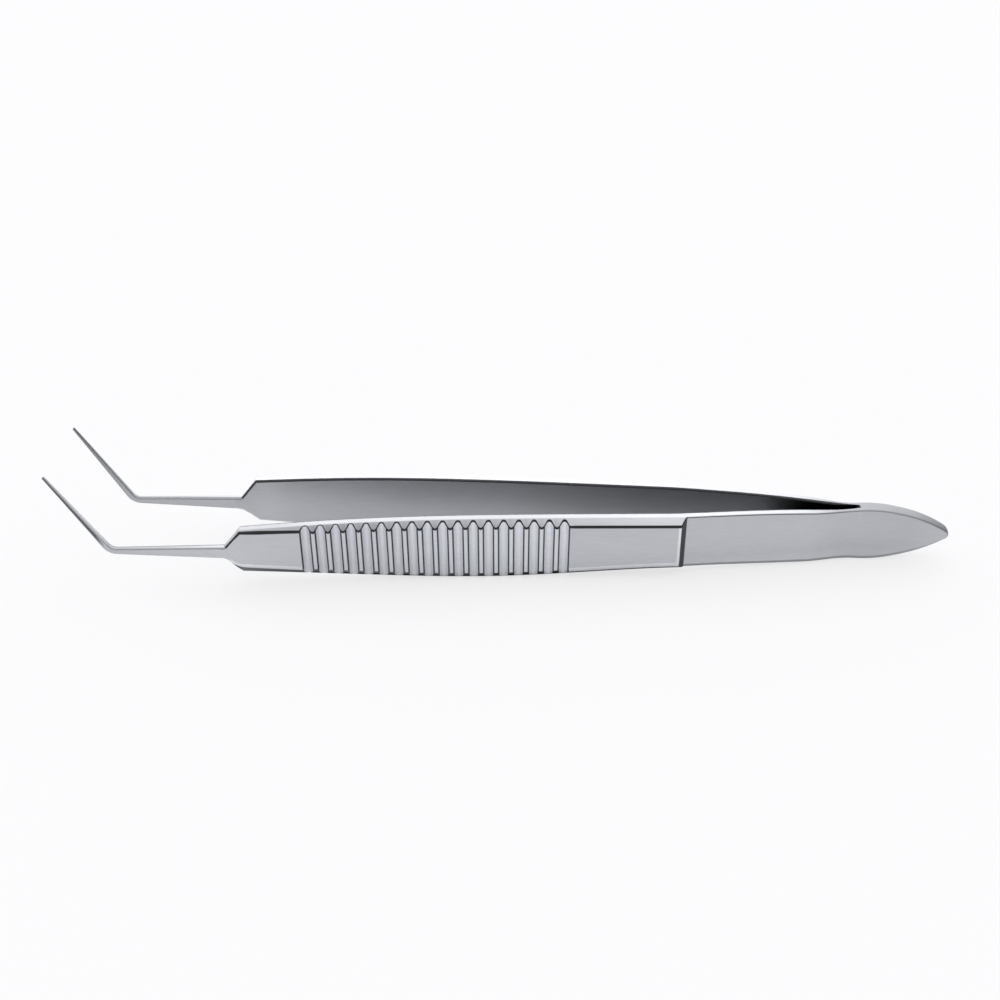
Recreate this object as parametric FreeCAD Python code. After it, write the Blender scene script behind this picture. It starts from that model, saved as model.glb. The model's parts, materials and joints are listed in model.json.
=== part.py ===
import FreeCAD, Part
import math
import os
from collections import namedtuple

# Foreign body forceps: two mirrored spring-steel arms welded together at the heel.
# Millimetres. X runs from the tips (-) to the heel (+), Y across the squeeze, Z up.
# Distances are measured forward from the front of the weld, offsets outward from the
# centre plane between the arms, and heights up from the surface the forceps lies on.

# Heel: the welded rear ends, ground to one block whose point is then rounded off
heel_length = 12.0
heel_thickness = 1.96
heel_nose_height = 3.62
heel_nose_radius = 0.75
heel_arc_from_weld = 7.3
heel_arc_top = 6.16
heel_arc_bottom = 1.10

# Weld front, where each arm leaves the heel as a thin leaf
weld_width = 7.13
weld_height = 3.67
weld_slot_half = 0.34

# Leaf spring: its station sets the width and height a little in front of the weld
leaf_from_weld = 6.0
leaf_width = 7.17
leaf_height = 3.875
leaf_length = 21.95
leaf_thickness = 1.03
leaf_taper_length = 6.5
leaf_taper_pull = 2.3
leaf_splay_deg = 6.56
leaf_bend_radius = 80.0

# Handle: its stations are the step's crest, the widest point, the front of the grip and the shoulder
step_run = 0.68
handle_splay_deg = 2.55
step_width = 7.33
step_height = 4.365
step_thickness = 1.95
belly_from_weld = 44.6
belly_width = 8.39
belly_height = 4.195
belly_thickness = 1.87
grip_from_weld = 65.3
grip_width = 7.19
grip_height = 4.515
grip_thickness = 1.70
shoulder_from_weld = 76.0
shoulder_width = 5.93
shoulder_height = 4.505
shoulder_thickness = 1.50

# Bevels along the handle's outer edges, measured down the outer face
edge_band_margin = 0.05
bevel_top = 0.86
bevel_top_belly = 0.81
bevel_top_grip = 0.72
bevel_top_shoulder = 0.16
bevel_bottom = 0.74
bevel_bottom_shoulder = 0.94

# Grip grooves across the outer face: straight walls with a rounded floor
groove_count = 18
groove_pitch = 1.838
groove_first_from_weld = 36.82
groove_width = 1.32
groove_wall_deg = 48.5
groove_floor_radius = 0.33

# Shoulder and shaft: the shaft is set into the shoulder as deep as its seat
shoulder_length = 2.1
shaft_root_width = 1.65
shaft_root_height = 4.03
shaft_root_thickness = 0.84
shaft_root_fillet = 1.8
shaft_seat = 1.3
shaft_length = 13.93
shaft_bend_height = 4.26
shaft_bend_inner = 5.67
shaft_bend_width = 0.80
shaft_bend_thickness = 0.62
shaft_bend_radius = 1.6

# Angled tip
tip_length = 12.09
tip_angle_deg = 58.8
tip_inner = 6.00
tip_width = 0.28
tip_thickness = 0.30

# Chamfer on the shaft's corners, as a share of the section's smaller side
shaft_chamfer_share = 0.25
# The fillet under the shaft's root is this much inside the shaft's flat sides
fillet_inset = 0.02
# How far a cutting tool runs past the face that it cuts
overrun = 3.0

UP = FreeCAD.Vector(0, 0, 1)
OUTWARD = FreeCAD.Vector(0, 1, 0)


def point(distance, offset, height):
    """A point of the far arm, from its distance, offset and height."""
    return FreeCAD.Vector(-distance, offset, height)


def line(start, end):
    return Part.makeLine(start, end)


def smooth_curve(points):
    curve = Part.BSplineCurve()
    curve.interpolate(points)
    return curve


def rounded_corner(before, corner, after, radius):
    """The arc of that radius between two straight lines that meet at a corner: (start, edge, end)."""
    back = (before - corner).normalize()
    ahead = (after - corner).normalize()
    half_angle = back.getAngle(ahead) / 2
    reach = radius / math.tan(half_angle)
    start = corner + back * reach
    end = corner + ahead * reach
    inward = (back + ahead).normalize()
    middle = corner + inward * (radius / math.sin(half_angle) - radius)
    return start, Part.Arc(start, middle, end).toShape(), end


def prism(edges, direction):
    """A solid with a flat closed outline, carried along a direction."""
    return Part.Face(Part.Wire(edges)).extrude(direction)


# Offsets of the inner face: the leaf and the handle are two straight runs
leaf_slope = math.tan(math.radians(leaf_splay_deg))
handle_slope = math.tan(math.radians(handle_splay_deg))


def leaf_inner(distance):
    return weld_slot_half + leaf_slope * distance


def handle_inner(distance):
    return leaf_inner(leaf_length) + handle_slope * (distance - leaf_length)


# The handle's four stations: the height is that of the middle of its width
Station = namedtuple("Station", "distance width height thickness bevel_top bevel_bottom")
crest_from_weld = leaf_length + step_run
crest = Station(crest_from_weld, step_width, step_height, step_thickness, bevel_top, bevel_bottom)
belly = Station(belly_from_weld, belly_width, belly_height, belly_thickness, bevel_top_belly, bevel_bottom)
grip = Station(grip_from_weld, grip_width, grip_height, grip_thickness, bevel_top_grip, bevel_bottom)
shoulder = Station(
    shoulder_from_weld,
    shoulder_width,
    shoulder_height,
    shoulder_thickness,
    bevel_top_shoulder,
    bevel_bottom_shoulder,
)
stations = [crest, belly, grip, shoulder]
root_from_weld = shoulder_from_weld + shoulder_length
bend_from_weld = root_from_weld + shaft_length
outer_curve = smooth_curve([point(s.distance, handle_inner(s.distance) + s.thickness, 0) for s in stations])


def heel_arc(side):
    """The arc along the heel's top (side 1) or bottom (side -1), from the weld to the nose."""
    front = point(0, 0, weld_height + side * weld_width / 2)
    middle = point(-heel_arc_from_weld, 0, heel_arc_top if side > 0 else heel_arc_bottom)
    return Part.Arc(front, middle, point(-heel_length, 0, heel_nose_height))


def edge_curve(side):
    """The arm's top edge (side 1) or bottom edge (side -1), which runs on smoothly from the heel's arc."""
    arc = heel_arc(side)
    front = point(0, 0, weld_height + side * weld_width / 2)
    leaf = point(leaf_from_weld, 0, leaf_height + side * leaf_width / 2)
    onward = arc.tangent(arc.parameter(front))[0]
    if onward.x > 0:
        onward = onward * -1
    ends = [front, leaf] + [point(s.distance, 0, s.height + side * s.width / 2) for s in stations]
    curve = Part.BSplineCurve()
    tangents = [onward] * len(ends)
    held = [True] + [False] * (len(ends) - 1)
    curve.interpolate(Points=ends, Tangents=tangents, TangentFlags=held)
    return curve


def shaft_section(centre, along, side, width, thickness):
    """A rectangle across the shaft with chamfered corners: its width is in the plane of the bend."""
    across = side.cross(along)
    chamfer = shaft_chamfer_share * min(width, thickness)
    u = width / 2
    v = thickness / 2
    quarter = [(u, v - chamfer), (u - chamfer, v)]
    outline = quarter + [(-a, b) for a, b in reversed(quarter)]
    outline += [(-a, -b) for a, b in outline]
    corners = [centre + across * a + side * b for a, b in outline]
    return Part.makePolygon(corners + corners[:1])


def make_shaft():
    """The tapered shaft, its bend and the angled tip."""
    root_middle = handle_inner(root_from_weld) + shaft_root_thickness / 2
    bend_middle = shaft_bend_inner + shaft_bend_thickness / 2
    tip_middle = tip_inner + tip_thickness / 2
    tip_angle = math.radians(tip_angle_deg)
    tip_from_weld = bend_from_weld + tip_length * math.cos(tip_angle)
    tip_height = shaft_bend_height + tip_length * math.sin(tip_angle)
    root = point(root_from_weld, root_middle, shaft_root_height)
    bend = point(bend_from_weld, bend_middle, shaft_bend_height)
    tip = point(tip_from_weld, tip_middle, tip_height)
    forward = (bend - root).normalize()
    upward = (tip - bend).normalize()
    side = forward.cross(upward).normalize()
    inward = side.cross(forward)
    bend_start, bend_arc, bend_end = rounded_corner(root, bend, tip, shaft_bend_radius)
    bend_centre = bend_start + inward * shaft_bend_radius
    turn = math.degrees(forward.getAngle(upward))

    seat = root - forward * shaft_seat
    at_seat = shaft_section(seat, forward, side, shaft_root_width, shaft_root_thickness)
    at_root = shaft_section(root, forward, side, shaft_root_width, shaft_root_thickness)
    at_bend = shaft_section(bend_start, forward, side, shaft_bend_width, shaft_bend_thickness)
    past_bend = shaft_section(bend_end, upward, side, shaft_bend_width, shaft_bend_thickness)
    at_tip = shaft_section(tip, upward, side, tip_width, tip_thickness)
    seated = Part.makeLoft([at_seat, at_root], True, True)
    taper = Part.makeLoft([at_root, at_bend], True, True)
    elbow = Part.Face(at_bend).revolve(bend_centre, side, turn)
    angled_tip = Part.makeLoft([past_bend, at_tip], True, True)
    return seated.fuse([taper, elbow, angled_tip])


def make_root_fillet():
    """The web that fills the corner between the shoulder and the shaft's underside."""
    shoulder_corner = point(shoulder.distance, 0, shoulder.height - shoulder.width / 2)
    root_corner = point(root_from_weld, 0, shaft_root_height - shaft_root_width / 2)
    bend_corner = point(bend_from_weld, 0, shaft_bend_height - shaft_bend_width / 2)
    start, arc, end = rounded_corner(shoulder_corner, root_corner, bend_corner, shaft_root_fillet)
    buried = UP * (shaft_root_width / 2)
    edges = [arc, line(end, end + buried), line(end + buried, start + buried), line(start + buried, start)]
    web = prism(edges, OUTWARD * (shaft_root_thickness - 2 * fillet_inset))
    web.translate(OUTWARD * (handle_inner(root_from_weld) + fillet_inset))
    return web


def make_plan():
    """The arm's plate seen from above, from the weld to the shaft's root, as a tall prism."""
    weld_inner = point(0, leaf_inner(0), 0)
    kink = point(leaf_length, leaf_inner(leaf_length), 0)
    root_inner = point(root_from_weld, handle_inner(root_from_weld), 0)
    kink_start, kink_arc, kink_end = rounded_corner(weld_inner, kink, root_inner, leaf_bend_radius)
    root_outer = root_inner + OUTWARD * shaft_root_thickness
    crest_corner = outer_curve.StartPoint
    shoulder_corner = outer_curve.EndPoint
    foot = point(leaf_length, leaf_inner(leaf_length) + leaf_thickness, 0)
    taper_end = point(leaf_taper_length, leaf_inner(leaf_taper_length) + leaf_thickness, 0)
    weld_outer = point(0, heel_thickness / 2, 0)
    leaf_pole = taper_end + (taper_end - foot).normalize() * leaf_taper_pull
    heel_pole = point(leaf_taper_pull, heel_thickness / 2, 0)
    taper = Part.BezierCurve()
    taper.setPoles([taper_end, leaf_pole, heel_pole, weld_outer])
    edges = [
        line(weld_inner, kink_start),
        kink_arc,
        line(kink_end, root_inner),
        line(root_inner, root_outer),
        line(root_outer, shoulder_corner),
        outer_curve.toShape(),
        line(crest_corner, foot),
        line(foot, taper_end),
        taper.toShape(),
        line(weld_outer, weld_inner),
    ]
    tall = belly_width + 2 * overrun
    plan = prism(edges, UP * tall)
    plan.translate(UP * -overrun)
    return plan


def make_side():
    """The arm's plate seen from its flat side, with its slanted shoulders, as a deep prism."""
    top = edge_curve(1)
    bottom = edge_curve(-1)
    half_root = shaft_root_width / 2
    top_root = point(root_from_weld, 0, shaft_root_height + half_root)
    bottom_root = point(root_from_weld, 0, shaft_root_height - half_root)
    edges = [
        top.toShape(),
        line(top.EndPoint, top_root),
        line(top_root, bottom_root),
        line(bottom_root, bottom.EndPoint),
        bottom.toShape(),
        line(bottom.StartPoint, top.StartPoint),
    ]
    deep = handle_inner(root_from_weld) + step_thickness + overrun
    return prism(edges, OUTWARD * deep)


def station_beyond(end, neighbour, reach):
    """The station that lies that far past an end station, in line with its neighbour."""
    share = reach / abs(end.distance - neighbour.distance)
    return Station(*[a + (a - b) * share for a, b in zip(end, neighbour)])


def bevel_cutter(side):
    """The bar that is milled off along the handle's top (side 1) or bottom (side -1) outer edge."""
    before = station_beyond(crest, belly, step_run)
    after = station_beyond(shoulder, grip, shoulder_length)
    sections = []
    for s in [before, *stations, after]:
        edge = s.height + side * s.width / 2
        bevel = s.bevel_top if side > 0 else s.bevel_bottom
        offset = handle_inner(s.distance)
        inner = point(s.distance, offset + leaf_thickness + edge_band_margin, edge)
        outer = point(s.distance, offset + s.thickness, edge - side * bevel)
        slant = outer - inner
        start = inner - slant
        end = outer + slant
        corner = point(s.distance, end.y, start.z)
        sections.append(Part.makePolygon([start, end, corner, start]))
    return Part.makeLoft(sections, True, False)


def groove_cutter(distance):
    """One groove's milling tool: a rounded V that runs the whole width of the handle."""
    near = point(distance, handle_inner(distance) + belly_thickness, 0)
    at = outer_curve.parameter(near)
    centre = outer_curve.value(at)
    along = outer_curve.tangent(at)[0]
    along.normalize()
    outward = UP.cross(along)
    if outward.y < 0:
        outward = outward * -1
    wall = math.radians(groove_wall_deg)
    depth = groove_width / 2 * math.tan(wall)
    floor = centre - outward * depth
    rise = overrun / 2
    spread = groove_width / 2 + rise / math.tan(wall)
    left = centre + outward * rise - along * spread
    right = centre + outward * rise + along * spread
    floor_start, floor_arc, floor_end = rounded_corner(left, floor, right, groove_floor_radius)
    edges = [line(left, floor_start), floor_arc, line(floor_end, right), line(right, left)]
    tool = prism(edges, UP * (belly_width + 2 * overrun))
    tool.translate(UP * -overrun)
    return tool


def make_far_arm():
    arm = make_plan().common(make_side())
    arm = arm.cut([bevel_cutter(1), bevel_cutter(-1)])
    grooves = [groove_cutter(groove_first_from_weld + i * groove_pitch) for i in range(groove_count)]
    arm = arm.cut(grooves)
    return arm.fuse([make_shaft(), make_root_fillet()]).removeSplitter()


def make_heel():
    """The two rear ends, welded and ground as one block with a pointed, rounded nose."""
    top_arc = heel_arc(1)
    bottom_arc = heel_arc(-1)
    front = line(bottom_arc.StartPoint, top_arc.StartPoint)
    edges = [top_arc.toShape(), bottom_arc.toShape(), front]
    block = prism(edges, OUTWARD * heel_thickness)
    block.translate(OUTWARD * (-heel_thickness / 2))
    nose_edges = [e for e in block.Edges if e.BoundBox.XMin > heel_length - 0.001]
    return block.makeFillet(heel_nose_radius, nose_edges)


far_arm = make_far_arm()
near_arm = far_arm.mirror(FreeCAD.Vector(), OUTWARD)
heel = make_heel()

# The frame's origin is under the middle of the forceps, on the surface that it lies on
box = Part.makeCompound([far_arm, near_arm, heel]).optimalBoundingBox(False)
to_frame = FreeCAD.Vector(-box.Center.x, 0, -box.ZMin)

os.makedirs("parts", exist_ok=True)
for name, shape in (("heel", heel), ("near_arm", near_arm), ("far_arm", far_arm)):
    shape.translate(to_frame)
    shape.exportStep("parts/" + name + ".step")
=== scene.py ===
import json
import math
from collections import namedtuple

import bmesh
import bpy
import numpy as np
from mathutils import Matrix, Vector


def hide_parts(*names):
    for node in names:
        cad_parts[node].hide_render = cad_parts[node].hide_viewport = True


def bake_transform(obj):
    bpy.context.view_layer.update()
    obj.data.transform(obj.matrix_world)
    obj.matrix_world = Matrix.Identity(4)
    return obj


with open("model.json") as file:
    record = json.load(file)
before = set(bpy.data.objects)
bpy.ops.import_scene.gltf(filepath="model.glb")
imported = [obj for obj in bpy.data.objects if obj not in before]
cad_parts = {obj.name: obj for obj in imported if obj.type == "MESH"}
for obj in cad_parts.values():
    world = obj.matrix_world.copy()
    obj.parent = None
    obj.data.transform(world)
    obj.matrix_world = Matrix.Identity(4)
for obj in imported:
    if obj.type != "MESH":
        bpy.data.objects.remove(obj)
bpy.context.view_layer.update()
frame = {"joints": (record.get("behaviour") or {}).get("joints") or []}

# Sizes are in millimetres, as in the part. Distances run forward from the front of the weld, offsets
# outward from the plane between the arms, and heights up from the surface the forceps lies on.
MM = 0.001
hinges = {joint["name"]: joint for joint in frame["joints"]}
weld_x = hinges["far_arm_squeeze"]["pos_m"][0] / MM

# Heel
heel_length = 12.0
heel_half_thickness = 0.98
heel_nose_height = 3.62
heel_nose_radius = 0.75
heel_arc_from_weld = 7.3
heel_arc_top = 6.16
heel_arc_bottom = 1.10
heel_crown = 0.16
heel_crown_run = 5.0
weld_width = 7.13
weld_height = 3.67
weld_slot_half = 0.34

# Leaf
leaf_from_weld = 6.0
leaf_width = 7.17
leaf_height = 3.875
leaf_length = 21.95
leaf_thickness = 1.03
leaf_taper_length = 6.5
leaf_taper_pull = 2.3
leaf_splay_deg = 6.56
leaf_bend_radius = 80.0

# Handle: distance, width, height of the middle, thickness and bevels at its four stations
step_run = 0.68
handle_splay_deg = 2.55
Station = namedtuple("Station", "distance width height thickness bevel_top bevel_bottom")
crest = Station(leaf_length + step_run, 7.33, 4.365, 1.95, 0.86, 0.74)
belly = Station(44.6, 8.39, 4.195, 1.87, 0.81, 0.74)
grip = Station(65.3, 7.19, 4.515, 1.70, 0.72, 0.74)
shoulder = Station(76.0, 5.93, 4.505, 1.50, 0.16, 0.94)
stations = [crest, belly, grip, shoulder]
edge_band = leaf_thickness + 0.05

# Grip grooves
groove_count = 18
groove_pitch = 1.838
groove_first_from_weld = 36.82
groove_width = 1.32
groove_wall_deg = 51.0
groove_floor_radius = 0.40
groove_lip_radius = 0.10
groove_lip_wall = 0.35
land_notch = 0.20
land_notch_start = 0.60

# Shoulder, shaft and angled tip
shoulder_length = 2.1
shoulder_corner_radius = 0.12
shaft_root_width = 1.65
shaft_root_height = 4.03
shaft_root_thickness = 0.84
shaft_root_fillet = 1.8
shaft_length = 13.93
shaft_bend_height = 4.26
shaft_bend_inner = 5.67
shaft_bend_width = 0.80
shaft_bend_thickness = 0.62
shaft_bend_radius = 1.6
shaft_rounding = 0.30
tip_length = 12.09
tip_angle_deg = 58.8
tip_inner = 6.00
tip_width = 0.28
tip_thickness = 0.30

# Rounding of the plate's edges
inner_edge_radius = 0.26
inner_edge_run = 3.0
leaf_edge_radius = 0.20
leaf_low_edge_radius = 0.10
leaf_low_cut = 0.12
leaf_low_bevel = 0.36
band_edge_radius = 0.16
ridge_radius = 0.48
arch_ridge_radius = 0.44
low_ridge_radius = 0.60
# low_rim is a strip along the bottom of the flat, which carries a painted highlight on the handle's plain
# stretches
low_rim = 0.24
slim_rim = 0.05
step_radius = 0.14
step_margin = 0.5
# The crest's rim, whose flat gets a painted highlight
crest_rim = 0.30
shoulder_run = 2.4
corner_run = 1.2
root_bevel = 0.20
root_bevel_width = 0.22
root_bevel_pace = 1.3
root_ridge_radius = 0.30
root_low_ridge_radius = 0.20
root_top_fillet = 0.15
shaft_start = 1.0

# How finely the skin is divided: the widest gaps between its columns, and the steps of its arcs and runs
taper_step = 0.4
leaf_step = 0.75
handle_step = 0.8
grip_end_step = 0.5
corner_step = 0.2
TAPER_SAMPLES = 81
NOSE_STEPS = 10
HEEL_STEPS = 30
CORNER_STEPS = 4
FLOOR_STEPS = 10
SLANT_STEPS = 9
ROOT_STEPS = 6
SHAFT_STEPS = 20
ELBOW_STEPS = 12
TIP_STEPS = 16
INNER_STEPS = 3
EDGE_STEPS = 4
RIDGE_STEPS = 5
RAMP_SHARES = (0.3, 0.5, 0.7)
BAND_SHARES = (0.0, 0.2, 0.4, 0.6, 0.8)

# What counts as no length or no turn, how much of a side one rounding may take, a depth beyond every edge,
# and, in metres, the gap that joins two points and the thinnest face that stays
NO_LENGTH = 1e-9
NO_TURN = 1e-4
SIDE_SHARE = 0.499
FAR = 100.0
JOIN_GAP = 2e-7
THIN_FACE = 1e-8

# Finishes, which paint light and shade into the steel's colour: the half length that their stops span, the
# height of the painted lighter foot along the bottom edge, how far past the bend the tip's finish starts,
# the steel's tint, and the streaks' scale, detail, shades, spread of the roughness and bump, with the bump's
# depth in metres
HALF_LENGTH = 55.0
painted_foot_height = 2.4
elbow_run = 0.45
steel_red = 0.985
steel_blue = 1.03
streak_scale = (260, 5200, 5200)
streak_detail = 3.0
streak_stops = [(0.3, 0.93), (0.7, 1.0)]
streak_gloss = 0.06
bump_strength = 0.12
bump_depth = 0.00001

# Studio, in metres: the light's stops are (height of the direction from 0, level, to 1, straight up;
# brightness), and it turns from front to rear between light_turn on either side
floor_size = 1.5
floor_grey = 0.86
floor_roughness = 0.9
floor_glow = 0.7
backdrop_colour = (0.98, 0.98, 0.985, 1)
light_blue = 1.03
light_strength = 1.6
light_turn = 0.25
front_light = [(0.0, 0.26), (0.55, 0.30), (0.75, 0.64), (1.0, 0.78)]
rear_light = [(0.0, 0.75), (0.25, 0.95), (0.70, 0.93), (1.0, 0.78)]

# Camera, fitted to the photograph
camera_place = (-0.176, -133.755, 89.230)
camera_azimuth_deg = 0.426
camera_elevation_deg = 31.278
camera_roll_deg = -0.039
camera_lens = 45.46
sensor_width = 36.0
camera_clip = 5.0


def spline(points, first_slope=None):
    """The cubic curve through (distance, value) points, as a function of distance: natural at its ends,
    or with a given slope at the first."""
    xs = np.array([p[0] for p in points])
    ys = np.array([p[1] for p in points])
    gaps = np.diff(xs)
    slopes = np.diff(ys) / gaps
    n = len(xs)
    matrix = np.eye(n)
    right = np.zeros(n)
    for i in range(1, n - 1):
        matrix[i, i - 1 : i + 2] = gaps[i - 1], 2 * (gaps[i - 1] + gaps[i]), gaps[i]
        right[i] = 6 * (slopes[i] - slopes[i - 1])
    if first_slope is not None:
        matrix[0, :2] = 2 * gaps[0], gaps[0]
        right[0] = 6 * (slopes[0] - first_slope)
    bend = np.linalg.solve(matrix, right)

    def value(x):
        i = int(np.clip(np.searchsorted(xs, x) - 1, 0, n - 2))
        a = (xs[i + 1] - x) / gaps[i]
        b = 1 - a
        curved = (a**3 - a) * bend[i] + (b**3 - b) * bend[i + 1]
        return float(a * ys[i] + b * ys[i + 1] + curved * gaps[i] ** 2 / 6)

    return value


def blend_stations(field):
    """A station's value all along the handle, by straight runs that go on past both ends."""
    xs = [s.distance for s in stations]
    ys = [getattr(s, field) for s in stations]

    def value(x):
        i = int(np.clip(np.searchsorted(xs, x) - 1, 0, len(xs) - 2))
        share = (x - xs[i]) / (xs[i + 1] - xs[i])
        return ys[i] + share * (ys[i + 1] - ys[i])

    return value


leaf_slope = math.tan(math.radians(leaf_splay_deg))
handle_slope = math.tan(math.radians(handle_splay_deg))


def leaf_inner(distance):
    return weld_slot_half + leaf_slope * distance


def handle_inner(distance):
    return leaf_inner(leaf_length) + handle_slope * (distance - leaf_length)


def inner_offset(distance):
    """The inner face's offset, with the leaf's long soft bend into the handle."""
    turn = math.radians(leaf_splay_deg - handle_splay_deg)
    reach = leaf_bend_radius * math.tan(turn / 2)
    straight = leaf_inner(distance) if distance < leaf_length else handle_inner(distance)
    past = abs(distance - leaf_length)
    if past > reach:
        return straight
    return straight - (leaf_slope - handle_slope) * (reach - past) ** 2 / (4 * reach)


def leaf_outer(distance):
    """The leaf's outer face, which runs down to the heel's thickness in a soft curve."""
    if distance > leaf_taper_length:
        return leaf_inner(distance) + leaf_thickness
    t = np.linspace(0, 1, TAPER_SAMPLES)
    start = leaf_inner(leaf_taper_length) + leaf_thickness
    weights = (1 - t) ** 3, 3 * t * (1 - t) ** 2, 3 * t**2 * (1 - t), t**3
    along = (0, leaf_taper_pull, leaf_taper_length - leaf_taper_pull, leaf_taper_length)
    out = (heel_half_thickness, heel_half_thickness, start - leaf_slope * leaf_taper_pull, start)
    distances = sum(w * v for w, v in zip(weights, along))
    offsets = sum(w * v for w, v in zip(weights, out))
    return float(np.interp(distance, distances, offsets))


weld_top = weld_height + weld_width / 2
weld_bottom = weld_height - weld_width / 2


def circle_through(a, b, c):
    """Centre and radius of the circle through three points of the plane."""
    rows = np.array([[b[0] - a[0], b[1] - a[1]], [c[0] - a[0], c[1] - a[1]]]) * 2
    right = [b[0] ** 2 - a[0] ** 2 + b[1] ** 2 - a[1] ** 2, c[0] ** 2 - a[0] ** 2 + c[1] ** 2 - a[1] ** 2]
    centre = np.linalg.solve(rows, np.array(right))
    return centre, float(np.hypot(*(centre - np.array(a))))


heel_nose = (-heel_length, heel_nose_height)
top_arc = circle_through((0, weld_top), (-heel_arc_from_weld, heel_arc_top), heel_nose)
low_arc = circle_through((0, weld_bottom), (-heel_arc_from_weld, heel_arc_bottom), heel_nose)


def arm_edge(side, weld_end, arc):
    """The arm's top edge (side 1) or bottom edge (side -1), which runs on smoothly from the heel's arc."""
    slope = arc[0][0] / (weld_end - arc[0][1])
    ends = [(0, weld_end), (leaf_from_weld, leaf_height + side * leaf_width / 2)]
    return spline(ends + [(s.distance, s.height + side * s.width / 2) for s in stations], slope)


handle_outer = spline([(s.distance, handle_inner(s.distance) + s.thickness) for s in stations])
arm_top = arm_edge(1, weld_top, top_arc)
arm_bottom = arm_edge(-1, weld_bottom, low_arc)
bevel_top = blend_stations("bevel_top")
bevel_bottom = blend_stations("bevel_bottom")
root_distance = shoulder.distance + shoulder_length
bend_distance = root_distance + shaft_length


def heel_outline():
    """The heel's outline from its nose to the weld: rows of (top point, inward, bottom point, inward)."""
    top_centre, top_radius = top_arc
    low_centre, low_radius = low_arc
    # The nose's circle touches both arcs from inside
    a = top_radius - heel_nose_radius
    b = low_radius - heel_nose_radius
    apart = low_centre - top_centre
    gap = float(np.hypot(*apart))
    along = (a**2 - b**2 + gap**2) / (2 * gap)
    across = math.sqrt(a**2 - along**2)
    unit = apart / gap
    normal = np.array([-unit[1], unit[0]])
    sides = [top_centre + unit * along + normal * across * s for s in (1, -1)]
    centre = min(sides, key=lambda p: p[0])
    top_angle = math.atan2(*(centre - top_centre)[::-1])
    low_angle = math.atan2(*(centre - low_centre)[::-1])
    if low_angle < top_angle:
        low_angle += 2 * math.pi
    tip_angle = (top_angle + low_angle) / 2

    def on(middle, radius, angle):
        ray = np.array([math.cos(angle), math.sin(angle)])
        return middle + ray * radius, -ray

    rows = []
    for i in range(NOSE_STEPS + 1):
        share = i / NOSE_STEPS
        top = on(centre, heel_nose_radius, tip_angle + share * (top_angle - tip_angle))
        low = on(centre, heel_nose_radius, tip_angle + share * (low_angle - tip_angle))
        rows.append((*top, *low))
    top_end = math.atan2(weld_top - top_centre[1], -top_centre[0])
    low_end = math.atan2(weld_bottom - low_centre[1], -low_centre[0])
    low_end += 2 * math.pi if low_end < 0 else 0
    for i in range(1, HEEL_STEPS + 1):
        share = i / HEEL_STEPS
        top = on(top_centre, top_radius, top_angle + share * (top_end - top_angle))
        low = on(low_centre, low_radius, low_angle + share * (low_end - low_angle))
        rows.append((*top, *low))
    return rows


def arc_points(before, corner, after, radius, steps):
    """Points of the arc that rounds a corner of the plane, its radius cut down where there's no room."""
    corner = np.array(corner, float)
    back = np.array(before, float) - corner
    ahead = np.array(after, float) - corner
    back_length = float(np.hypot(*back))
    ahead_length = float(np.hypot(*ahead))
    if radius <= 0 or min(back_length, ahead_length) < NO_LENGTH:
        return [corner] * (steps + 1)
    back /= back_length
    ahead /= ahead_length
    half = math.acos(float(np.clip(back @ ahead, -1, 1))) / 2
    if half > math.pi / 2 - NO_TURN:
        return [corner] * (steps + 1)
    room = SIDE_SHARE * min(back_length, ahead_length)
    reach = min(radius / math.tan(half), room)
    true_radius = reach * math.tan(half)
    middle = corner + (back + ahead) / float(np.hypot(*(back + ahead))) * (true_radius / math.sin(half))
    start = corner + back * reach - middle
    end = corner + ahead * reach - middle
    swing = math.pi - 2 * half
    turn = 1 if start[0] * end[1] - start[1] * end[0] > 0 else -1
    points = []
    for i in range(steps + 1):
        angle = turn * swing * i / steps
        cos, sin = math.cos(angle), math.sin(angle)
        points.append(middle + np.array([start[0] * cos - start[1] * sin, start[0] * sin + start[1] * cos]))
    return points


# One column of the arm's skin: two points of the outline with their inward directions, what the section
# holds between them, and where along the plate its offsets are taken
Column = namedtuple(
    "Column",
    "top top_in low low_in zone inner outer band low_band bevel_top bevel_low"
    " edge low_edge ridge low_ridge inner_edge crown at",
    defaults=(None,),
)


def half_section(column, band_end, bevel, edge_round, ridge_round):
    """One edge's profile, as (offset, depth) from the inner face round to the outer face."""
    # The smallest bevel that holds the roundings of both its edges
    least = edge_round * (2 - math.sqrt(2))
    bevelled = bevel > least and column.outer - band_end > least
    shelf = max(column.inner, weld_slot_half)
    shelf_end = band_end if bevelled else column.outer - least
    band = [column.inner]
    for share in BAND_SHARES:
        band.append(shelf + share * (shelf_end - shelf))
    band = [(offset, column.crown * (offset / heel_half_thickness) ** 2) for offset in band + [shelf_end]]
    edge = band.pop()
    ridge = (column.outer, edge[1] + (bevel if bevelled else least))
    ridge_round = ridge_round if bevelled else edge_round
    points = arc_points((column.inner, FAR), band[0], edge, column.inner_edge, INNER_STEPS)
    if column.inner < shelf:
        points += [np.array(p) for p in band[1:]]
    else:
        points += [points[-1]] + [np.array(p) for p in band[2:]]
    points += arc_points(band[-1], edge, ridge, edge_round, EDGE_STEPS)
    points += arc_points(edge, ridge, (column.outer, FAR), ridge_round, RIDGE_STEPS)
    return points


def settle(column, offset, distance):
    """A point's offset where the column leans: it follows the plate's two faces to its own distance."""
    if column.at is None:
        return offset
    share = (offset - column.inner) / (column.outer - column.inner)
    inner = inner_offset(min(distance, root_distance)) - inner_offset(min(column.at, root_distance))
    outer = plate_outer(distance) - plate_outer(column.at)
    return offset + inner + share * (outer - inner)


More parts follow.
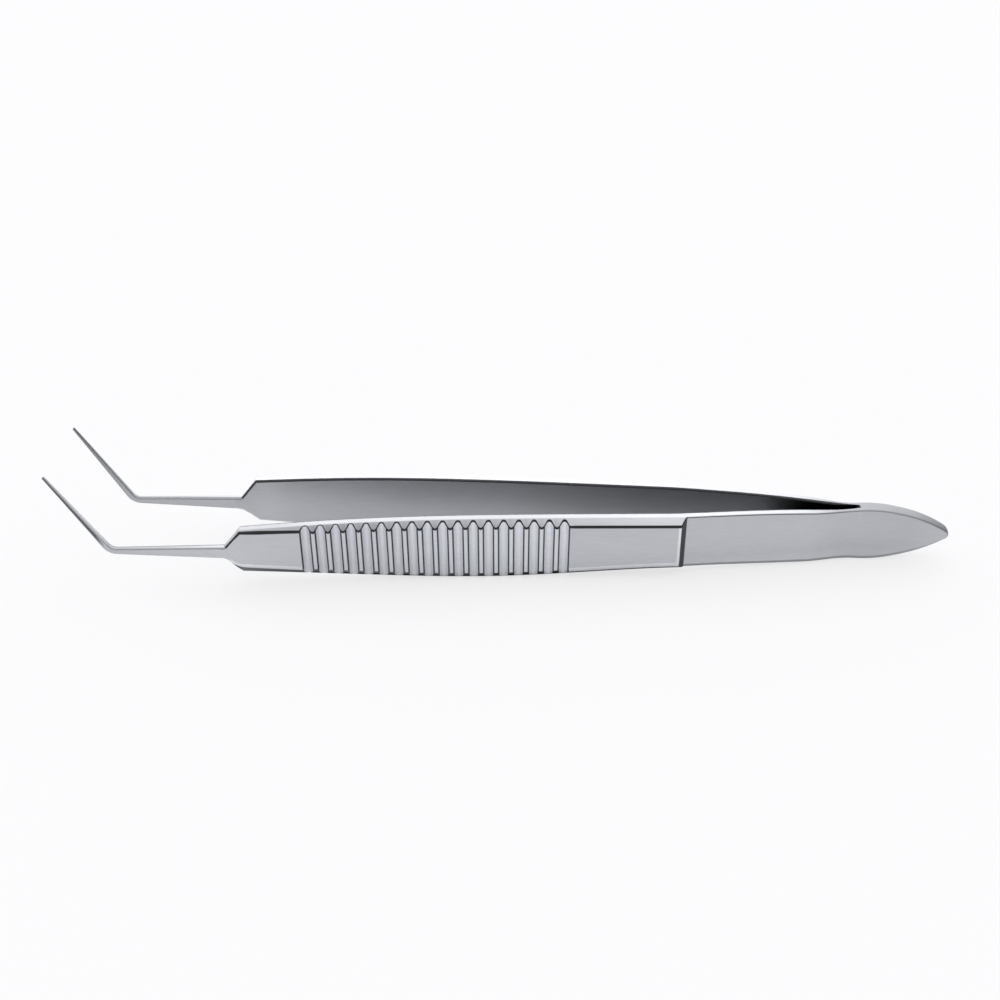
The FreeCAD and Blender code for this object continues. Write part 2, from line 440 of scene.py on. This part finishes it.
def ring(column):
    """The column's points in the part's frame, round from the inner top edge to the inner bottom edge."""
    c = column
    upper = half_section(c, c.band, c.bevel_top, c.edge, c.ridge)
    lower = half_section(c, c.low_band, c.bevel_low, c.low_edge, c.low_ridge)
    lower.append(lower[-1] + np.array([0, slim_rim if c.zone in ("shaft", "tip") else low_rim]))
    points = []
    for place, inward, section in ((c.top, c.top_in, upper), (c.low, c.low_in, lower[::-1])):
        for offset, depth in section:
            distance, height = place + inward * depth
            points.append((weld_x - distance, settle(c, offset, distance), height))
    return points


def slope_of(curve, distance, reach=0.01):
    return (curve(distance + reach) - curve(distance - reach)) / (2 * reach)


def plate_column(distance, outer, zone, ridge=ridge_radius):
    """A column of the leaf or the handle, straight across the plate."""
    top_slope = slope_of(arm_top, distance)
    low_slope = slope_of(arm_bottom, distance)
    top = np.array([distance, arm_top(distance)])
    low = np.array([distance, arm_bottom(distance)])
    handle = distance >= leaf_length
    band = handle_inner(distance) + edge_band
    # The bevels run out as the outer face sinks to the band, in a groove or down the step
    sunk = max(0.0, outer - band) / (handle_outer(distance) - band)
    if distance > root_distance - shoulder_run:
        sunk = 1.0
    return Column(
        top,
        np.array([top_slope, -1]) / math.hypot(top_slope, 1),
        low,
        np.array([-low_slope, 1]) / math.hypot(low_slope, 1),
        zone,
        inner_offset(distance),
        outer,
        band,
        band if handle else outer - leaf_low_cut,
        bevel_top(distance) * sunk if handle else 0.0,
        bevel_bottom(distance) * sunk if handle else leaf_low_bevel,
        band_edge_radius if handle and sunk > 0 else leaf_edge_radius,
        band_edge_radius if handle and sunk > 0 else leaf_low_edge_radius,
        ridge,
        low_ridge_radius if handle else ridge,
        inner_edge_radius * min(1.0, distance / inner_edge_run),
        0.0,
    )


def mix(a, b, share):
    return a + share * (b - a)


def plate_outer(distance):
    """The handle's outer face, with its soft run down to the shaft's thickness at the shoulder."""
    start = root_distance - shoulder_run
    share = float(np.clip((distance - start) / shoulder_run, 0, 1))
    drop = handle_outer(root_distance) - handle_inner(root_distance) - shaft_root_thickness
    return handle_outer(distance) - drop * share**2 * (3 - 2 * share)


def groove_profile():
    """A groove's profile: (distance from its middle, depth) points from one land to the other."""
    wall = math.radians(groove_wall_deg)
    half = groove_width / 2
    depth = half * math.tan(wall)
    lip = arc_points((-half - 1, 0), (-half, 0), (0, depth), groove_lip_radius, CORNER_STEPS)
    floor = arc_points((-half, 0), (0, depth), (half, 0), groove_floor_radius, FLOOR_STEPS)
    other_lip = [np.array([-p[0], p[1]]) for p in lip[::-1]]
    return lip, floor, other_lip


def between(a, b, step):
    """Evenly spaced distances from a to b, both left out."""
    count = max(1, math.ceil(abs(b - a) / step))
    return [a + (b - a) * i / count for i in range(1, count)]


def heel_columns():
    columns = []
    for top, top_in, low, low_in in heel_outline():
        distance = (top[0] + low[0]) / 2
        crown = heel_crown * min(1.0, -distance / heel_crown_run) ** 2
        low_bevel = leaf_low_bevel * min(1.0, (distance + heel_length) / heel_crown_run)
        half = heel_half_thickness
        columns.append(
            Column(
                top, top_in, low, low_in, "heel", 0.0, half, half, half - leaf_low_cut, 0.0, low_bevel,
                leaf_edge_radius, leaf_low_edge_radius, leaf_edge_radius, ridge_radius, 0.0, crown,
            )
        )
    return columns


def leaf_columns():
    distances = [0.0] + between(0, leaf_taper_length, taper_step) + [leaf_taper_length]
    distances += between(leaf_taper_length, leaf_length - step_margin, leaf_step)
    return [plate_column(distance, leaf_outer(distance), "leaf") for distance in distances]


def step_columns():
    """The ramp up from the leaf to the handle, with its foot and its crest rounded."""
    before = (leaf_length - step_margin, leaf_outer(leaf_length - step_margin))
    foot = (leaf_length, leaf_outer(leaf_length))
    top = (crest.distance, handle_outer(crest.distance))
    rim = (crest.distance + crest_rim, handle_outer(crest.distance + crest_rim))
    after = (crest.distance + step_margin, handle_outer(crest.distance + step_margin))
    columns = [plate_column(before[0], before[1], "leaf")]
    for distance, offset in arc_points(before, foot, top, step_radius, CORNER_STEPS):
        columns.append(plate_column(distance, offset, "ramp"))
    for share in RAMP_SHARES:
        distance = foot[0] + share * (top[0] - foot[0])
        columns.append(plate_column(distance, foot[1] + share * (top[1] - foot[1]), "ramp"))
    for distance, offset in arc_points(foot, top, after, step_radius, CORNER_STEPS):
        columns.append(plate_column(distance, offset, "crest"))
    columns.append(plate_column(rim[0], rim[1], "crest"))
    columns.append(plate_column(after[0], after[1], "handle"))
    return columns


def notched(column, along):
    """A column of a groove or a land with its bevel let down towards the middle of the land, along from
    the groove's middle, where the land's worn top corners meet in a point."""
    share = (abs(along) - land_notch_start) / (groove_pitch / 2 - land_notch_start)
    return column._replace(bevel_top=column.bevel_top + land_notch * float(np.clip(share, 0, 1)))


def groove_columns(number):
    """One groove, and the middle of the land behind it."""
    middle = groove_first_from_weld + number * groove_pitch
    lip, floor, other_lip = groove_profile()
    columns = []
    if number > 0:
        distance = middle - groove_pitch / 2
        land = plate_column(distance, handle_outer(distance), "land", arch_ridge_radius)
        columns.append(notched(land, groove_pitch / 2))
    near_wall = lip[-1] + groove_lip_wall * (floor[0] - lip[-1])
    far_wall = other_lip[0] + groove_lip_wall * (floor[-1] - other_lip[0])
    rows = [("near lip", p) for p in lip + [near_wall]]
    rows += [("floor", p) for p in floor]
    rows += [("far lip", p) for p in [far_wall] + other_lip]
    for zone, (along, depth) in rows:
        distance = middle + along
        column = plate_column(distance, handle_outer(distance) - depth, zone, arch_ridge_radius)
        beside_land = number > 0 if along < 0 else number < groove_count - 1
        columns.append(notched(column, along) if beside_land else column)
    return columns


def handle_columns():
    columns = step_columns()
    last = crest.distance + step_margin
    for i in range(groove_count):
        cut = groove_columns(i)
        if i == 0:
            for distance in between(last, cut[0].top[0], handle_step):
                columns.append(plate_column(distance, handle_outer(distance), "handle"))
        columns += cut
        last = cut[-1].top[0]
    end = shoulder.distance - corner_run
    for distance in between(last, end, grip_end_step) + [end]:
        columns.append(plate_column(distance, plate_outer(distance), "handle"))
    return columns


def line_normal(a, b, side):
    """The direction across a straight line of the outline, down from the top (1) or up (-1)."""
    run = np.array(b) - np.array(a)
    run = run / float(np.hypot(*run))
    return np.array([run[1], -run[0]]) * side


def shoulder_columns():
    """The slanted shoulder, down to the shaft's root."""
    half_root = shaft_root_width / 2
    top_corner = np.array([shoulder.distance, arm_top(shoulder.distance)])
    low_corner = np.array([shoulder.distance, arm_bottom(shoulder.distance)])
    top_root = np.array([root_distance, shaft_root_height + half_root])
    low_root = np.array([root_distance, shaft_root_height - half_root])
    bend_top = np.array([bend_distance, shaft_bend_height + shaft_bend_width / 2])
    bend_low = np.array([bend_distance, shaft_bend_height - shaft_bend_width / 2])
    before = shoulder.distance - shoulder_corner_radius
    top_before = np.array([before, arm_top(before)])
    low_before = np.array([before, arm_bottom(before)])

    def shoulder_column(top, top_in, low, low_in, share, zone):
        distance = (top[0] + low[0]) / 2
        outer = plate_outer(distance)
        inner = inner_offset(min(distance, root_distance))
        band = mix(handle_inner(distance) + edge_band, outer - root_bevel_width, share)
        low_share = min(1.0, root_bevel_pace * share)
        return Column(
            top, top_in, low, low_in, zone, inner, outer, band, band,
            mix(shoulder.bevel_top, root_bevel, share), mix(shoulder.bevel_bottom, root_bevel, low_share),
            band_edge_radius, band_edge_radius,
            mix(ridge_radius, root_ridge_radius, share), mix(low_ridge_radius, root_low_ridge_radius, share),
            inner_edge_radius, 0.0, distance,
        )

    top_round = arc_points(top_before, top_corner, top_root, shoulder_corner_radius, CORNER_STEPS)
    low_round = arc_points(low_before, low_corner, low_root, shoulder_corner_radius, CORNER_STEPS)
    flat_top = line_normal(top_before, top_corner, 1)
    slant_top = line_normal(top_corner, top_root, 1)
    flat_low = line_normal(low_before, low_corner, -1)
    slant_low = line_normal(low_corner, low_root, -1)

    def swing(a, b, share):
        mixed = a * (1 - share) + b * share
        return mixed / float(np.hypot(*mixed))

    def mitre(a, b):
        """The direction in from a corner that keeps the same depth from both of its sides."""
        half_way = swing(a, b, 0.5)
        return half_way / float(half_way @ a)

    top_mitre = mitre(flat_top, slant_top)
    low_mitre = mitre(flat_low, slant_low)
    columns = []
    for distance in between(shoulder.distance - corner_run, before, corner_step) + [before]:
        share = 1 - (shoulder.distance - distance) / corner_run
        column = plate_column(distance, plate_outer(distance), "handle")
        top_in = mix(column.top_in, top_mitre, share)
        low_in = mix(column.low_in, low_mitre, share)
        columns.append(column._replace(top_in=top_in, low_in=low_in, at=distance))
    for top, low in zip(top_round, low_round):
        columns.append(shoulder_column(top, top_mitre, low, low_mitre, 0.0, "slant"))
    top_foot = arc_points(top_corner, top_root, bend_top, root_top_fillet, ROOT_STEPS)
    low_foot = arc_points(low_corner, low_root, bend_low, shaft_root_fillet, ROOT_STEPS)
    for i in range(1, SLANT_STEPS):
        share = i / SLANT_STEPS
        top = top_round[-1] + share * (top_foot[0] - top_round[-1])
        low = low_round[-1] + share * (low_foot[0] - low_round[-1])
        top_in = mix(top_mitre, slant_top, min(1.0, 2 * share))
        low_in = mix(low_mitre, slant_low, min(1.0, 2 * share))
        columns.append(shoulder_column(top, top_in, low, low_in, share, "slant"))
    shaft_top = line_normal(top_root, bend_top, 1)
    shaft_low = line_normal(low_root, bend_low, -1)
    for i in range(ROOT_STEPS + 1):
        top_in = swing(slant_top, shaft_top, i / ROOT_STEPS)
        low_in = swing(slant_low, shaft_low, i / ROOT_STEPS)
        columns.append(shoulder_column(top_foot[i], top_in, low_foot[i], low_in, 1.0, "root"))
    return columns


def shaft_columns():
    """The tapered shaft, its elbow and the angled tip, along their middle line."""
    root = np.array([root_distance, shaft_root_height])
    bend = np.array([bend_distance, shaft_bend_height])
    rise = math.radians(tip_angle_deg)
    tip = bend + tip_length * np.array([math.cos(rise), math.sin(rise)])
    forward = math.atan2(bend[1] - root[1], bend[0] - root[0])
    turn = rise - forward
    reach = shaft_bend_radius * math.tan(turn / 2)
    start = bend - reach * np.array([math.cos(forward), math.sin(forward)])
    centre = start + shaft_bend_radius * np.array([-math.sin(forward), math.cos(forward)])
    end = bend + reach * np.array([math.cos(rise), math.sin(rise)])
    root_middle = handle_inner(root_distance) + shaft_root_thickness / 2
    bend_middle = shaft_bend_inner + shaft_bend_thickness / 2
    tip_middle = tip_inner + tip_thickness / 2

    def column(at, heading, width, thickness, middle, zone):
        normal = np.array([-math.sin(heading), math.cos(heading)])
        radius = shaft_rounding * min(width, thickness)
        half = thickness / 2
        return Column(
            at + normal * width / 2, -normal, at - normal * width / 2, normal, zone,
            middle - half, middle + half, middle + half, middle + half, 0.0, 0.0,
            radius, radius, radius, radius, radius, 0.0,
        )

    columns = []
    first = shaft_start / shaft_length
    for i in range(SHAFT_STEPS + 1):
        share = first + (1 - first) * i / SHAFT_STEPS
        at = mix(root, start, share)
        width = mix(shaft_root_width, shaft_bend_width, share)
        thickness = mix(shaft_root_thickness, shaft_bend_thickness, share)
        columns.append(column(at, forward, width, thickness, mix(root_middle, bend_middle, share), "shaft"))
    for i in range(1, ELBOW_STEPS + 1):
        heading = forward + turn * i / ELBOW_STEPS
        at = centre + shaft_bend_radius * np.array([math.sin(heading), -math.cos(heading)])
        columns.append(column(at, heading, shaft_bend_width, shaft_bend_thickness, bend_middle, "shaft"))
    for i in range(1, TIP_STEPS + 1):
        share = i / TIP_STEPS
        at = mix(end, tip, share)
        width = mix(shaft_bend_width, tip_width, share)
        thickness = mix(shaft_bend_thickness, tip_thickness, share)
        columns.append(column(at, rise, width, thickness, mix(bend_middle, tip_middle, share), "tip"))
    return columns


def strip_kinds():
    """What each strip between neighbouring points of a ring is, in the ring's order."""
    half = ["inner edge"] * INNER_STEPS + ["band"] * (len(BAND_SHARES) + 1) + ["edge"] * EDGE_STEPS
    half += ["bevel"] + ["ridge"] * RIDGE_STEPS
    return half + ["flat", "low rim"] + ["low " + kind for kind in half[::-1]] + ["inner face"]


def strip_zone(start, end):
    """The zone of the strip between two columns: lands and plain handle reach to the lips beside them, a
    groove's floor reaches up its walls, and any other strip goes with the column behind it."""
    if start == end:
        return start
    if "land" in (start, end):
        return "land"
    if "handle" in (start, end):
        return "handle"
    if end == "tip":
        return "tip"
    return "floor" if "floor" in (start, end) else start


# Finish numbers, each one a brightness of the same steel with light and shade painted in
(
    SATIN, LEAF, PAINTED_DARK, RAMP, LIP, PAINTED_HIGHLIGHT, GROOVE, LAND, EDGE, LOW_EDGE, INNER_EDGE, UNDER, TOP, BAND, BEVEL,
    SLOT_SHADE, TIP, TIP_FACE, TIP_EDGE, SHAFT_EDGE, SHAFT, SHAFT_TOP,
) = range(22)
LIPS = ("near lip", "far lip")
FACE = ("flat", "low rim")
TOPS = ("band", "edge", "bevel")


def finish_of(zone, kind):
    """The number of the finish on a strip of the skin, which sets the light and shade painted into its
    colour.
    """
    if zone == "tip":
        return TIP if kind == "inner face" else TIP_FACE if kind in FACE else TIP_EDGE
    if zone in ("shaft", "root") and kind in ("inner edge", "ridge"):
        return SHAFT_EDGE
    if zone == "shaft":
        return SHAFT_TOP if kind in TOPS else SHAFT
    # The inner faces get painted shade, deepest in the slot by the weld
    if kind == "inner face":
        return SLOT_SHADE
    # A painted dark line along the inner top edge
    if kind == "inner edge":
        return INNER_EDGE
    if zone in ("leaf", "heel"):
        low = kind in ("low ridge", "low bevel", "low edge")
        return EDGE if kind == "ridge" else LOW_EDGE if low else TOP if kind in TOPS else LEAF
    # A painted dark line on the ridge between bevel and flat, standing in for a dark reflection
    if kind == "ridge":
        return PAINTED_DARK
    # The step's ramp, painted dark as shade
    if zone == "ramp" and kind in ("flat", "low rim", "low ridge"):
        return RAMP
    # Painted shade along the bottom bevel, and on the low ridge of lands and lips
    if kind == "low bevel" or kind == "low ridge" and zone in ("land", *LIPS):
        return UNDER
    # The grooves' lips, painted dark as shade
    if zone in LIPS and kind in FACE:
        return LIP
    if zone == "floor" and kind in FACE:
        return GROOVE
    if zone == "root":
        return SATIN
    if zone == "land" and kind in FACE:
        return LAND
    # Painted highlight along the bottom edge of the handle and on the crest of the step
    if kind in ("low ridge", "low rim") or zone == "crest" and kind == "flat":
        return PAINTED_HIGHLIGHT
    if kind == "flat":
        return SATIN
    return BAND if kind in ("band", "edge") else BEVEL if kind == "bevel" else SATIN


def make_object(name, builder):
    """A new object of the scene with the builder's mesh."""
    mesh = bpy.data.meshes.new(name)
    builder.to_mesh(mesh)
    builder.free()
    made = bpy.data.objects.new(name, mesh)
    bpy.context.scene.collection.objects.link(made)
    return made


def build_arm(name, side):
    """One whole arm with its half of the heel, as a closed skin: side 1 is the far arm, -1 the near one."""
    columns = heel_columns() + leaf_columns() + handle_columns() + shoulder_columns() + shaft_columns()
    rings = [ring(c) for c in columns]
    zones = [strip_zone(a.zone, b.zone) for a, b in zip(columns, columns[1:])]
    creases = []
    count = len(rings[0])
    kinds = strip_kinds()
    builder = bmesh.new()
    verts = [[builder.verts.new((x * MM, side * y * MM, z * MM)) for x, y, z in points] for points in rings]
    for i in range(len(rings) - 1):
        for j in range(count):
            k = (j + 1) % count
            face = builder.faces.new((verts[i][j], verts[i][k], verts[i + 1][k], verts[i + 1][j]))
            face.material_index = finish_of(zones[i], kinds[j])
            face.smooth = True
            beside = (kinds[j], kinds[j - 1])
            face_border = (beside[0] in FACE) != (beside[1] in FACE)
            seam = zones[i] == "heel" and (beside[0] + beside[1]).count("inner edge") > 0
            if face_border or "inner face" in beside or seam:
                creases.append((verts[i][j], verts[i + 1][j]))
            if i > 0 and {zones[i], zones[i - 1]} & {"ramp", *LIPS} and kinds[j] in FACE:
                creases.append((verts[i][j], verts[i][k]))
    builder.faces.new(verts[-1])
    for start, end in creases:
        builder.edges.get((start, end)).smooth = False
    bmesh.ops.remove_doubles(builder, verts=builder.verts, dist=JOIN_GAP)
    bmesh.ops.dissolve_degenerate(builder, edges=builder.edges, dist=THIN_FACE)
    bmesh.ops.recalc_face_normals(builder, faces=builder.faces)
    return make_object(name, builder)


def add_node(tree, kind, inputs=None, **settings):
    """A new shader node, its inputs given a value each or linked to another node's output."""
    node = tree.nodes.new("ShaderNode" + kind)
    for name, value in settings.items():
        setattr(node, name, value)
    for name, value in (inputs or {}).items():
        if isinstance(value, bpy.types.NodeSocket):
            tree.links.new(value, node.inputs[name])
        else:
            node.inputs[name].default_value = value
    return node


def map_range(tree, value, before, after, interpolation="LINEAR"):
    """A value carried over from the range before to the range after."""
    ends = {"From Min": before[0], "From Max": before[1], "To Min": after[0], "To Max": after[1]}
    node = add_node(tree, "MapRange", {"Value": value, **ends}, interpolation_type=interpolation)
    return node.outputs["Result"]


def grey_ramp(tree, value, stops, red=1.0, blue=1.0):
    """A ramp through (position, grey) stops in rising order, tinted by its shares of red and blue."""
    ramp = add_node(tree, "ValToRGB", {"Fac": value})
    elements = ramp.color_ramp.elements
    elements.remove(elements[1])
    for i, (position, grey) in enumerate(stops):
        stop = elements.new(position) if i else elements[0]
        stop.position = position
        stop.color = (grey * red, grey, min(1.0, grey * blue), 1)
    return ramp.outputs["Color"]


def steel(name, stops, roughness, low=1.0, high=1.0, foot=1.0, rim=1.0):
    """Brushed steel whose brightness runs along the forceps, as painted light and shade: stops are (x in mm,
    brightness), times low at the bottom and high at the top, and times foot along the bottom edge, which
    paint it lighter or darker by height against the shade in its reflections. The rim is how bright it is
    where it is seen edge-on, and set low it paints that reflection dark. Fine streaks along the arm vary its
    colour and roughness, and a faint bump follows them."""
    material = bpy.data.materials.new(name)
    material.use_nodes = True
    tree = material.node_tree
    place = add_node(tree, "TexCoord").outputs["Object"]
    apart = add_node(tree, "SeparateXYZ", {0: place})
    stretched = add_node(tree, "Mapping", {"Vector": place, "Scale": streak_scale}).outputs["Vector"]
    noise = add_node(tree, "TexNoise", {"Vector": stretched, "Scale": 1.0, "Detail": streak_detail})
    streaks = noise.outputs["Fac"]
    along = map_range(tree, apart.outputs["X"], (-HALF_LENGTH * MM, HALF_LENGTH * MM), (0.0, 1.0))
    places = [((x / HALF_LENGTH + 1) / 2, grey) for x, grey in stops]
    base = grey_ramp(tree, along, places, steel_red, steel_blue)
    # Painted light and shade: the base is scaled by height, from low at the bottom to high at the top, and
    # lifted along the bottom edge by foot
    painted_height_level = map_range(tree, apart.outputs["Z"], (0.0, belly.width * MM), (low, high))
    painted_foot_level = map_range(tree, apart.outputs["Z"], (0.0, painted_foot_height * MM), (foot, 1.0), "SMOOTHSTEP")
    level = add_node(tree, "Math", {0: painted_height_level, 1: painted_foot_level}, operation="MULTIPLY").outputs[0]
    graded = add_node(tree, "VectorMath", {0: base, "Scale": level}, operation="SCALE").outputs["Vector"]
    shades = {"Factor": 1.0, "A": graded, "B": grey_ramp(tree, streaks, streak_stops)}
    streaked = add_node(tree, "Mix", shades, data_type="RGBA", blend_type="MULTIPLY").outputs["Result"]
    gloss = map_range(tree, streaks, (0.0, 1.0), (roughness - streak_gloss, roughness + streak_gloss))
    relief = {"Strength": bump_strength, "Distance": bump_depth, "Height": streaks}
    bump = add_node(tree, "Bump", relief).outputs["Normal"]
    shader = tree.nodes["Principled BSDF"]
    shader.inputs["Metallic"].default_value = 1.0
    shader.inputs["Specular Tint"].default_value = (rim, rim, rim, 1)
    tree.links.new(streaked, shader.inputs["Base Color"])
    tree.links.new(gloss, shader.inputs["Roughness"])
    tree.links.new(bump, shader.inputs["Normal"])
    return material


root_x = weld_x - root_distance
bend_x = weld_x - bend_distance
elbow_end = bend_x - elbow_run
tip_end = bend_x - tip_length * math.cos(math.radians(tip_angle_deg))
# Painted shade on the inner faces: near black in the slot by the weld, and darker towards the top
slot_shade_stops = [
    (-34.6, 0.52), (-31, 0.60), (0, 0.60), (18, 0.49), (24.5, 0.49), (32, 0.61), (36.5, 0.12), (38.5, 0.03),
]
# Every finish is the same brushed steel with its own painted brightness: the light and shade of each kind of
# face painted into its colour, from dark lines on edges and shade in the slot to highlights on edges and
# lighter top bands
painted_finishes = [
    steel("satin steel", [(0, 0.55)], 0.32, low=1.27, foot=1.06),
    steel("leaf steel", [(22, 0.55), (38, 0.54), (44, 0.50), (50, 0.46)], 0.32, low=1.27, foot=1.25),
    # Painted dark reflection on the ridges
    steel("painted dark edge", [(0, 0.05)], 0.35, rim=0.2),
    # Painted shade on the step
    steel("step ramp painted shade", [(0, 0.18)], 0.40, rim=0.4),
    # Painted shade on the grooves' lips
    steel("groove lip painted shade", [(-18, 0.10), (10, 0.15)], 0.40, rim=0.4),
    # Painted highlight
    steel("painted highlight edge", [(0, 0.86)], 0.25),
    steel("groove steel", [(-18, 0.84), (0, 0.92)], 0.55),
    steel("land steel", [(-18, 0.62), (0, 0.70)], 0.32, low=1.2),
    steel("grey edge", [(36, 0.22), (44, 0.42)], 0.35),
    steel("low edge", [(0, 0.52)], 0.35, rim=0.4),
    # Painted dark line along the inner top edge
    steel("inner edge", [(0, 0.07)], 0.35),
    # Painted shade along the bottom bevel
    steel("under edge painted shade", [(-28, 0.30), (-20, 0.24), (0, 0.10), (18, 0.03)], 0.35, rim=0.0),
    # Top bands painted lighter on the leaf and darker over the heel
    steel("top steel", [(22, 0.72), (36, 0.66), (40, 0.46), (44.2, 0.38), (50, 0.31), (54.5, 0.12)], 0.30),
    steel("band steel", [(-28, 0.55), (-23, 0.62), (0, 0.63), (18, 0.68)], 0.32),
    steel("bevel steel", [(-23, 0.42), (-18, 0.44), (0, 0.50), (18, 0.67)], 0.32),
    steel("slot painted shade", slot_shade_stops, 0.32, low=1.08, high=0.8),
    # Painted shade darkening the tip towards its end
    steel("tip steel", [(tip_end, 0.22), (mix(tip_end, bend_x, 0.5), 0.32), (elbow_end, 0.46)], 0.35),
    steel("tip face", [(tip_end, 0.09), (mix(tip_end, bend_x, 0.8), 0.13), (elbow_end, 0.52)], 0.35),
    steel("tip edge", [(tip_end, 0.30), (mix(tip_end, bend_x, 0.5), 0.52), (elbow_end, 0.52)], 0.35),
    steel("shaft edge", [(0, 0.46)], 0.35),
    steel("shaft steel", [(elbow_end, 0.52), (root_x, 0.62)], 0.32),
    steel("shaft top", [(elbow_end, 0.42), (mix(elbow_end, root_x, 0.5), 0.46), (root_x, 0.62)], 0.32),
]
# The far arm's painted copies: its top band painted lighter, its tip edges and shaft painted darker than the
# near arm's
far_painted_finishes = {
    BAND: steel("far band steel", [(0, 0.80)], 0.32),
    TIP_EDGE: steel("far tip edge", [(tip_end, 0.20), (elbow_end, 0.40)], 0.35),
    SHAFT: steel("far shaft steel", [(elbow_end, 0.46), (root_x, 0.52)], 0.32),
}

for name, side, body in (("near_arm_steel", -1, "near_arm"), ("far_arm_steel", 1, "far_arm")):
    arm = build_arm(name, side)
    for number, material in enumerate(painted_finishes):
        arm.data.materials.append(far_painted_finishes.get(number, material) if side > 0 else material)
    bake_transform(arm)
    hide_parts(body, "heel")


def make_floor():
    builder = bmesh.new()
    bmesh.ops.create_grid(builder, x_segments=1, y_segments=1, size=floor_size)
    floor = make_object("floor", builder)
    material = bpy.data.materials.new("pale floor")
    material.use_nodes = True
    tree = material.node_tree
    matt = tree.nodes["Principled BSDF"]
    matt.inputs["Base Color"].default_value = (floor_grey, floor_grey, floor_grey, 1)
    matt.inputs["Roughness"].default_value = floor_roughness
    glow = add_node(tree, "Emission", {"Color": backdrop_colour})
    to_camera = add_node(tree, "LightPath").outputs["Is Camera Ray"]
    share = add_node(tree, "Math", {0: to_camera, 1: floor_glow}, operation="MULTIPLY")
    surface = add_node(tree, "MixShader", {0: share.outputs[0], 1: matt.outputs[0], 2: glow.outputs[0]})
    tree.links.new(surface.outputs[0], tree.nodes["Material Output"].inputs["Surface"])
    floor.data.materials.append(material)


def make_world():
    """Soft light by direction: brightest low behind the forceps, even overhead, and dim low in front. The
    camera itself sees the plain backdrop."""
    world = bpy.data.worlds.new("studio")
    bpy.context.scene.world = world
    world.use_nodes = True
    tree = world.node_tree
    direction = add_node(tree, "TexCoord").outputs["Generated"]
    apart = add_node(tree, "SeparateXYZ", {0: direction})
    front = grey_ramp(tree, apart.outputs["Z"], front_light, blue=light_blue)
    rear = grey_ramp(tree, apart.outputs["Z"], rear_light, blue=light_blue)
    side = map_range(tree, apart.outputs["Y"], (-light_turn, light_turn), (0.0, 1.0), "SMOOTHSTEP")
    light = add_node(tree, "Mix", {"Factor": side, "A": front, "B": rear}, data_type="RGBA")
    background = tree.nodes["Background"]
    background.inputs["Strength"].default_value = light_strength
    tree.links.new(light.outputs["Result"], background.inputs["Color"])
    backdrop = add_node(tree, "Background", {"Color": backdrop_colour})
    to_camera = add_node(tree, "LightPath").outputs["Is Camera Ray"]
    seen = add_node(tree, "MixShader", {0: to_camera, 1: background.outputs[0], 2: backdrop.outputs[0]})
    tree.links.new(seen.outputs[0], tree.nodes["World Output"].inputs["Surface"])


def make_camera():
    azimuth = math.radians(camera_azimuth_deg)
    elevation = math.radians(camera_elevation_deg)
    roll = math.radians(camera_roll_deg)
    back = Vector(
        (
            math.sin(azimuth) * math.cos(elevation),
            -math.cos(azimuth) * math.cos(elevation),
            math.sin(elevation),
        )
    )
    right = Vector((math.cos(azimuth), math.sin(azimuth), 0))
    up = back.cross(right)
    rolled_right = right * math.cos(roll) + up * math.sin(roll)
    rolled_up = up * math.cos(roll) - right * math.sin(roll)
    data = bpy.data.cameras.new("camera")
    data.lens = camera_lens
    data.sensor_width = sensor_width
    data.clip_start = camera_clip * MM
    camera = bpy.data.objects.new("camera", data)
    camera.matrix_world = Matrix.Translation(Vector(camera_place) * MM) @ Matrix(
        (rolled_right, rolled_up, back)
    ).transposed().to_4x4()
    bpy.context.scene.collection.objects.link(camera)
    bpy.context.scene.camera = camera


make_floor()
make_world()
make_camera()
bpy.context.scene.view_settings.view_transform = "Standard"
